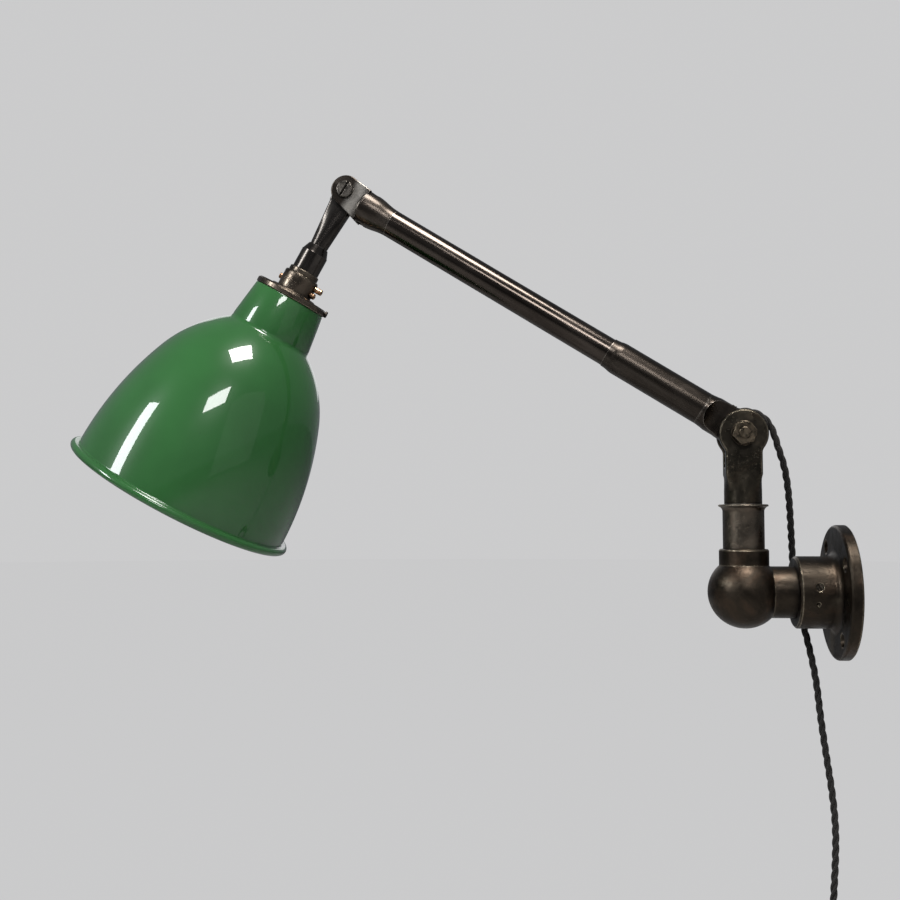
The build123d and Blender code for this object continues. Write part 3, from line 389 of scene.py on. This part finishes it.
def wall(inset):
    """The bell's wall from the crown to the rim as (radius, height): cone, fillet, two arcs."""
    side = (RIM_R - SIDE_R, RIM_Z)
    meet = polar(side, SIDE_R, 90 + CROWN_TURN)
    shoulder = polar(meet, SHOULDER_R, CROWN_TURN - 90)
    neck_r = NECK_R - inset * math.hypot(1, NECK_SLOPE)
    blend = NECK_BLEND + inset
    # the fillet's centre is one radius outside the cone and outside the shoulder arc
    low, high = NECK_TOP, meet[1]
    for _ in range(60):
        z = (low + high) / 2
        r = neck_r + NECK_SLOPE * (z - NECK_TOP) + blend * math.hypot(1, NECK_SLOPE)
        near = math.hypot(r - shoulder[0], z - shoulder[1]) < SHOULDER_R - inset + blend
        low, high = (low, z) if near else (z, high)
    lean = math.atan(NECK_SLOPE)
    start = 270 - math.degrees(lean)
    end = math.degrees(math.atan2(shoulder[0] - r, shoulder[1] - z)) % 360
    points = [(neck_r + inset * NECK_SLOPE, NECK_TOP + inset)]
    points += [polar((r, z), blend, start + (end - start) * k / 8) for k in range(9)]
    first = end - 180
    last = 90 + CROWN_TURN
    points += [polar(shoulder, SHOULDER_R - inset, first + (last - first) * k / 40) for k in range(1, 41)]
    points += [polar(side, SIDE_R - inset, 90 + CROWN_TURN * (1 - k / 24)) for k in range(1, 25)]
    return points


def head_point(radius, angle, height):
    """A point round the shade's axis, in metres."""
    across = PIVOT * math.cos(angle) + SHADE_SIDE * math.sin(angle)
    return TOP_PIVOT + (across * radius + SHADE_DIR * height) * MM


def lathe(name, outline, materials, turns, body):
    """Turns an outline about the shade's axis. turns gives each outline run's material."""
    mesh = bpy.data.meshes.new(name)
    angles = [2 * math.pi * k / LATHE_STEPS for k in range(LATHE_STEPS)]
    points = [head_point(r, angle, z) for r, z in outline for angle in angles]
    faces = []
    slots = []
    for i in range(len(outline)):
        j = (i + 1) % len(outline)
        near, far = i * LATHE_STEPS, j * LATHE_STEPS
        for k in range(LATHE_STEPS):
            m = (k + 1) % LATHE_STEPS
            faces.append((near + k, near + m, far + m, far + k))
            slots.append(turns[i])
    mesh.from_pydata(points, [], faces)
    for material in materials:
        mesh.materials.append(material)
    mesh.polygons.foreach_set("material_index", slots)
    mesh.polygons.foreach_set("use_smooth", [True] * len(faces))
    mesh.update()
    piece = bpy.data.objects.new(name, mesh)
    bpy.context.collection.objects.link(piece)
    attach(piece, body)
    return piece


outer = wall(0)
inner = wall(SHADE_T)
crown_r = outer[0][0]
crown = [(HOLE_R, NECK_TOP), (HOLE_R + 0.3, NECK_TOP), (crown_r - 1.0, NECK_TOP)]
crown += [(crown_r - 0.3, NECK_TOP + 0.12), (crown_r + 0.05, NECK_TOP + 0.9)]
outer = crown + [p for p in outer[1:] if p[1] < BEAD_MEETS_Z]
GREEN, WHITE, DARK = range(3)
# round the bead from where it leaves the outside, past its widest point, to its inner side
bead = [polar(BEAD, BEAD_R, 225 - 309.4 * k / 28) for k in range(29)]
inside = [(inner[-1][0], RIM_Z)] + inner[::-1][1:]
inside += [(HOLE_R + 0.3, NECK_TOP + SHADE_T), (HOLE_R, NECK_TOP + SHADE_T)]
outline = outer + bead + inside
turns = [GREEN] * (len(outer) + 17) + [DARK] * 12 + [WHITE] * (len(inside) - 2) + [DARK] * 2
turns = (turns + [DARK] * len(outline))[: len(outline)]
shade = lathe("enamel_shade", outline, (green, white, dark_rim), turns, "head")
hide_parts("shade")


# ================= twisted flex =================

FLEX_D = 0.0052
CORE_R = FLEX_D / 2 / 2.155  # three round cores that touch inside the flex
LAY = 0.024  # one full turn of the three cores
CORE_SIDES = 10
THREAD_PITCH = 0.0016  # between the braid's threads, along a core
FREE_ROUTE = [
    (-74.5, 0.2, 129.7), (-67.3, -0.25, 129.85), (-60.1, -0.7, 128.05), (-53.8, -1.0, 123.4),
    (-49.7, -1.0, 116.2), (-47.2, -0.7, 108.4), (-44.9, 0.3, 100.7), (-42.2, 2.6, 94.0),
    (-39.6, 6.0, 86.0), (-37.2, 10.2, 75.0), (-35.1, 15.4, 61.5), (-33.2, 21.9, 46.5),
    (-31.0, 29.3, 31.6), (-29.8, 33.2, 16.0), (-27.7, 34.6, 0.0), (-25.1, 33.4, -16.0),
    (-22.0, 31.0, -31.0), (-18.7, 29.2, -47.0), (-15.2, 28.2, -67.0), (-13.1, 27.2, -92.0),
    (-9.8, 26.1, -119.0), (-6.1, 25.2, -146.0), (-4.1, 24.9, -171.0), (-4.9, 25.1, -196.0),
    (-6.6, 25.0, -219.0), (-7.6, 25.0, -240.0), (-7.6, 25.0, -260.0),
]
KNUCKLE_RUN, DROP_RUN = 5, 11
COIL_TURNS, COIL_LAYERS, COIL_PITCH, COIL_OUTER_R = 7, 4, 5.9, 35.5
COIL_START = (-7.6, 25.0, -265.2)
PLUG_X, PLUG_Y, PLUG_TOP = -25.3, 24.6, -306.0
TAIL_ROUTE = [(PLUG_X, 25.0, -270.4), (PLUG_X, 25.0, -282.0), (PLUG_X - 0.3, 24.6, -294.0),
              (PLUG_X, PLUG_Y, PLUG_TOP)]


def part_route(route, *runs):
    """Cuts a route at the middle of some of its runs, given by number."""
    pieces = []
    start = [route[0]]
    last = 0
    for run in runs:
        middle = tuple((a + b) / 2 for a, b in zip(route[run], route[run + 1]))
        pieces.append(start + route[last + 1 : run + 1] + [middle])
        start = [middle]
        last = run
    pieces.append(start + route[last + 1 :])
    return pieces


def coil_point(turns):
    """Centre of the coil's cord: it winds in and out between two radii and climbs as it turns back."""
    per_layer = COIL_TURNS / COIL_LAYERS
    layer = min(int(turns / per_layer), COIL_LAYERS - 1)
    into = turns - layer * per_layer
    drawn_in = into if layer % 2 == 0 else per_layer - into
    radius = COIL_OUTER_R - COIL_PITCH * drawn_in
    climbed = sum(min(max((turns - k * per_layer) / 0.5 + 0.5, 0), 1) for k in range(1, COIL_LAYERS))
    angle = 2 * math.pi * turns
    return (
        COIL_START[0] - COIL_PITCH * climbed,
        COIL_START[1] - COIL_OUTER_R + radius * math.cos(angle),
        COIL_START[2] - radius * math.sin(angle),
    )


def centreline(route):
    """Points along the smooth line that a route's points control, in metres."""
    curve = bpy.data.curves.new("route", "CURVE")
    curve.dimensions = "3D"
    curve.resolution_u = 12
    spline = curve.splines.new("NURBS")
    spline.points.add(len(route) - 1)
    for point, place in zip(spline.points, route):
        point.co = (*(v * MM for v in place), 1)
    spline.order_u = 3
    spline.use_endpoint_u = True
    holder = bpy.data.objects.new("route", curve)
    mesh = bpy.data.meshes.new_from_object(holder)
    points = [v.co.copy() for v in mesh.vertices]
    bpy.data.objects.remove(holder)
    bpy.data.curves.remove(curve)
    bpy.data.meshes.remove(mesh)
    return points


def evenly(points, step):
    """The same line with its points a step apart."""
    kept = [points[0]]
    carried = 0.0
    for a, b in zip(points, points[1:]):
        length = (b - a).length
        while carried + length >= step:
            need = step - carried
            a = a + (b - a) * (need / length)
            kept.append(a)
            length = (b - a).length
            carried = 0.0
        carried += length
    if (kept[-1] - points[-1]).length > step / 4:
        kept.append(points[-1])
    else:
        kept[-1] = points[-1]
    return kept


def twisted(name, line, side, travelled):
    """Three braided cores laid round a line. Returns the piece, and the frame's side vector at the end."""
    frames = []
    lengths = []
    for i, p in enumerate(line):
        tangent = (line[min(i + 1, len(line) - 1)] - line[max(i - 1, 0)]).normalized()
        side = (side - tangent * side.dot(tangent)).normalized()
        frames.append((side, tangent.cross(side)))
        if i:
            travelled += (p - line[i - 1]).length
        lengths.append(travelled)
    points = []
    faces = []
    uvs = []
    for core in range(3):
        base = len(points)
        centres = []
        for p, (u, v), s in zip(line, frames, lengths):
            angle = 2 * math.pi * (s / LAY + core / 3)
            centres.append(p + (u * math.cos(angle) + v * math.sin(angle)) * (FLEX_D / 2 - CORE_R))
        for i, centre in enumerate(centres):
            ahead = (centres[min(i + 1, len(centres) - 1)] - centres[max(i - 1, 0)]).normalized()
            u = (frames[i][0] - ahead * frames[i][0].dot(ahead)).normalized()
            v = ahead.cross(u)
            for k in range(CORE_SIDES):
                angle = 2 * math.pi * k / CORE_SIDES
                points.append(centre + (u * math.cos(angle) + v * math.sin(angle)) * CORE_R)
        for i in range(len(line) - 1):
            ring = base + i * CORE_SIDES
            for k in range(CORE_SIDES):
                m = (k + 1) % CORE_SIDES
                faces.append((ring + k, ring + m, ring + CORE_SIDES + m, ring + CORE_SIDES + k))
                near, far = k / CORE_SIDES, (k + 1) / CORE_SIDES
                uvs += [(lengths[i], near), (lengths[i], far), (lengths[i + 1], far), (lengths[i + 1], near)]
        faces.append([base + k for k in reversed(range(CORE_SIDES))])
        faces.append([base + (len(line) - 1) * CORE_SIDES + k for k in range(CORE_SIDES)])
        uvs += [(lengths[0], 0)] * CORE_SIDES + [(lengths[-1], 0)] * CORE_SIDES
    mesh = bpy.data.meshes.new(name)
    mesh.from_pydata(points, [], faces)
    layer = mesh.uv_layers.new(name="braid")
    for loop, uv in zip(layer.data, uvs):
        loop.uv = uv
    mesh.polygons.foreach_set("use_smooth", [True] * len(faces))
    mesh.materials.append(braid)
    mesh.update()
    piece = bpy.data.objects.new(name, mesh)
    bpy.context.collection.objects.link(piece)
    return piece, frames[-1][0], travelled


def braided_cotton(name):
    """Black cotton plaited round each core: crossing threads with a soft nap."""
    g = Graph(name, Roughness=0.85, Sheen_Weight=0.15, Sheen_Roughness=0.5, Sheen_Tint=(0.6, 0.55, 0.5, 1))
    uv = g.put("UVMap", {"uv_map": "braid"}).outputs[0]
    parts = g.put("SeparateXYZ", None, Vector=uv)
    run = g.maths("MULTIPLY", parts.outputs["X"], 2 * math.pi / THREAD_PITCH)
    turn = g.maths("MULTIPLY", parts.outputs["Y"], 2 * math.pi * 4)
    right = g.maths("SINE", g.maths("ADD", run, turn))
    left = g.maths("SINE", g.maths("SUBTRACT", run, turn))
    threads = g.maths("MAXIMUM", right, left)
    fuzz = g.noise(2600.0, 3.0, 0.7)
    height = g.maths("ADD", threads, g.maths("MULTIPLY", fuzz, 0.8))
    colour = g.mix(g.band(threads, -0.4, 0.95), (0.004, 0.0037, 0.0034), (0.017, 0.015, 0.0135))
    g.plug(g.shader.inputs["Base Color"], g.mix(g.band(fuzz, 0.58, 0.78), colour, (0.040, 0.035, 0.031)))
    g.bumps((height, 0.00014, 0.8))
    return g.material


braid = braided_cotton("braided_flex")
over_knuckle, down_post, to_coil = part_route(FREE_ROUTE, KNUCKLE_RUN, DROP_RUN)
coil = [coil_point(k / 16) for k in range(16 * COIL_TURNS + 1)]
STEP = 0.0010

side = Vector((0, 1, 0))
line = evenly(centreline(over_knuckle), STEP)
flex_knuckle, side, laid = twisted("flex_over_knuckle", line, side, 0.0)
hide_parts("flex_knuckle")
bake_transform(flex_knuckle)

line = evenly(centreline(down_post), STEP)
flex_drop, side, laid = twisted("flex_down_post", line, side, laid)
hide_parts("flex_drop")
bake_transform(flex_drop)

line = evenly(centreline(to_coil + coil + TAIL_ROUTE[1:]), STEP)
flex_main, side, laid = twisted("flex_to_plug", line, side, laid)
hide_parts("flex_lower", "flex_coil", "flex_tail")
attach(flex_main, "bracket")


# ================= floor and light =================

BACKDROP = (0.60, 0.60, 0.605)


def seen_only(tree):
    """One where the viewer looks, and nought for every other ray."""
    rays = tree.nodes.new("ShaderNodeLightPath")
    first = tree.nodes.new("ShaderNodeMath")
    first.operation = "MAXIMUM"
    tree.links.new(rays.outputs["Is Camera Ray"], first.inputs[0])
    tree.links.new(rays.outputs["Is Transmission Ray"], first.inputs[1])
    return first.outputs[0]


world = bpy.data.worlds.new("studio")
bpy.context.scene.world = world
world.use_nodes = True
tree = world.node_tree
lit = tree.nodes["Background"]
lit.inputs["Color"].default_value = (0.80, 0.84, 0.90, 1)
lit.inputs["Strength"].default_value = 0.20
plain = tree.nodes.new("ShaderNodeBackground")
plain.inputs["Color"].default_value = (*BACKDROP, 1)
choose = tree.nodes.new("ShaderNodeMixShader")
tree.links.new(seen_only(tree), choose.inputs[0])
tree.links.new(lit.outputs[0], choose.inputs[1])
tree.links.new(plain.outputs[0], choose.inputs[2])
tree.links.new(choose.outputs[0], tree.nodes["World Output"].inputs["Surface"])


def floor_material():
    g = Graph("pale_floor", Roughness=0.9, Base_Color=(0.45, 0.45, 0.45))
    out = g.tree.nodes["Material Output"]
    glow = g.put("Emission", None, Color=(*BACKDROP, 1), Strength=1.0)
    share = g.maths("MULTIPLY", seen_only(g.tree), 0.975)
    mixed = g.put("MixShader")
    g.plug(mixed.inputs[0], share)
    g.tree.links.new(g.shader.outputs[0], mixed.inputs[1])
    g.tree.links.new(glow.outputs[0], mixed.inputs[2])
    g.tree.links.new(mixed.outputs[0], out.inputs["Surface"])
    return g.material


def floor_disc(radius, height):
    mesh = bpy.data.meshes.new("floor")
    turns = [2 * math.pi * k / 96 for k in range(96)]
    ring = [(radius * math.cos(a), radius * math.sin(a), height) for a in turns]
    mesh.from_pydata(ring, [], [list(range(96))])
    mesh.materials.append(floor_material())
    floor = bpy.data.objects.new("floor", mesh)
    bpy.context.collection.objects.link(floor)


floor_disc(14.0, -0.46)


AIM = Vector((-0.38, -0.02, 0.15))


def lamp(name, direction, distance, width, height, power, colour=(1, 1, 1)):
    """A soft rectangular light that faces the lamp from one direction."""
    data = bpy.data.lights.new(name, "AREA")
    data.shape = "RECTANGLE"
    data.size = width
    data.size_y = height
    data.energy = power
    data.color = colour
    light = bpy.data.objects.new(name, data)
    back = Vector(direction).normalized()
    light.location = AIM + back * distance
    light.rotation_euler = (-back).to_track_quat("-Z", "Y").to_euler()
    bpy.context.collection.objects.link(light)


lamp("window_high", (0.243, -0.328, 0.913), 2.0, 0.72, 0.60, 38, (1.0, 0.985, 0.96))
lamp("window_front", (0.177, -0.865, 0.469), 2.1, 0.60, 0.28, 10)
lamp("window_left", (-0.76, -0.50, 0.40), 2.1, 0.4, 1.0, 24, (0.95, 0.98, 1.0))
lamp("fill_right", (0.7, -0.7, 0.1), 2.6, 1.6, 1.6, 1.6)
lamp("fill_back", (-0.1, 0.95, 0.35), 2.6, 1.6, 1.2, 4.5)

bpy.context.scene.view_settings.view_transform = "Standard"
